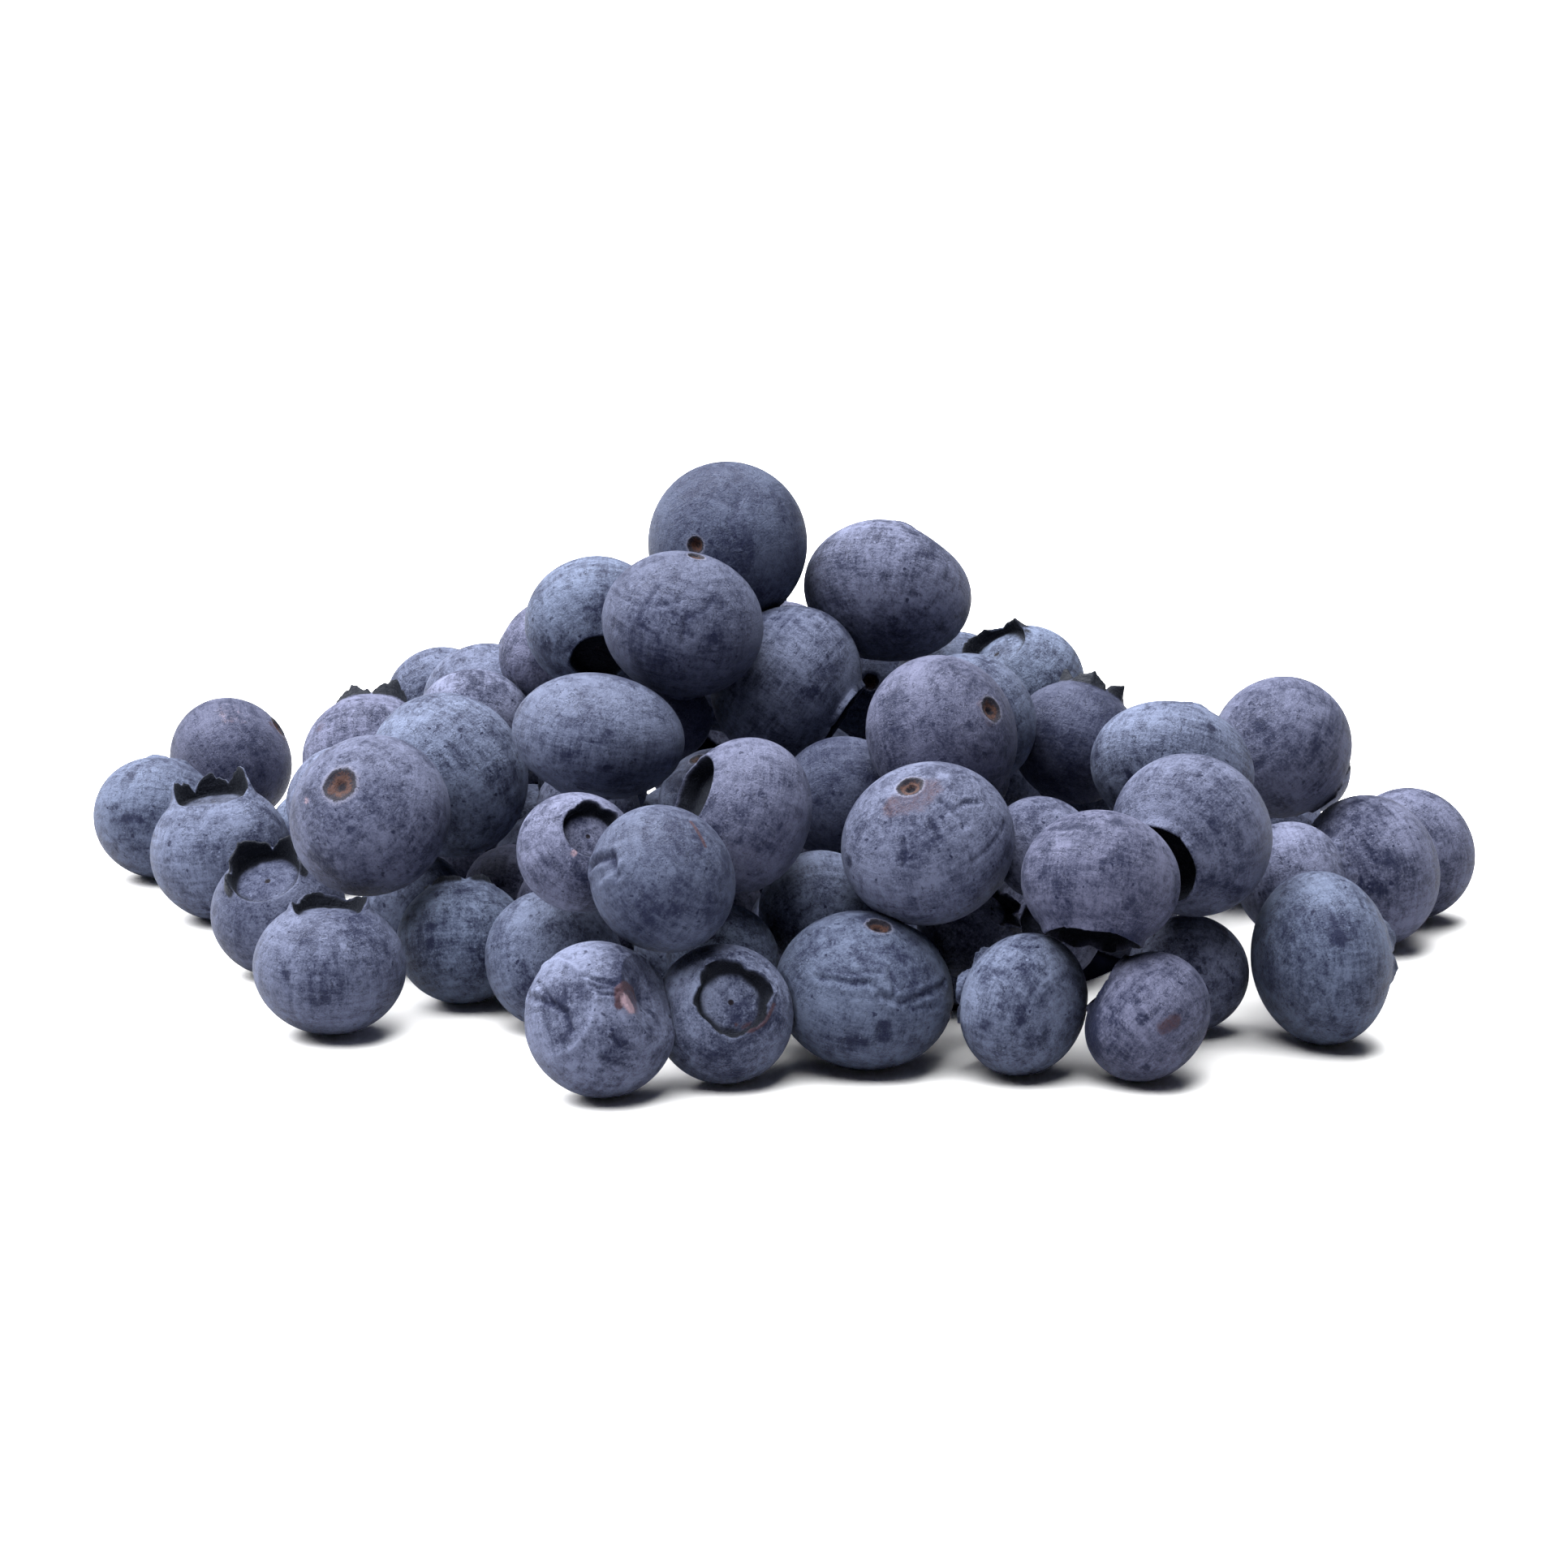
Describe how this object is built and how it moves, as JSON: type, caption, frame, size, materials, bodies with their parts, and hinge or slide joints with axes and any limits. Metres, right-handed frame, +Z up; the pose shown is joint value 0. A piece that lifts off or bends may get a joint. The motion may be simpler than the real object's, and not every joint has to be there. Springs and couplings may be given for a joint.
{
  "type": "heap of blueberries",
  "caption": "Loose heap of fresh blueberries lying on a flat surface, highest near the middle with low tails at both sides.",
  "frame": {"origin": "middle of the heap's bounding box at the surface that it lies on", "axes": "+Z up, +X to the right as the heap is seen from the front, +Y from the front to the back"},
  "size_m": [0.1434, 0.1282, 0.0494],
  "materials": {
    "berry_skin": "dusty blue-grey waxy bloom over a blue-black skin"
  },
  "bodies": {
    "root": {"blueberry_heap": "berry_skin"}
  },
  "joints": []
}
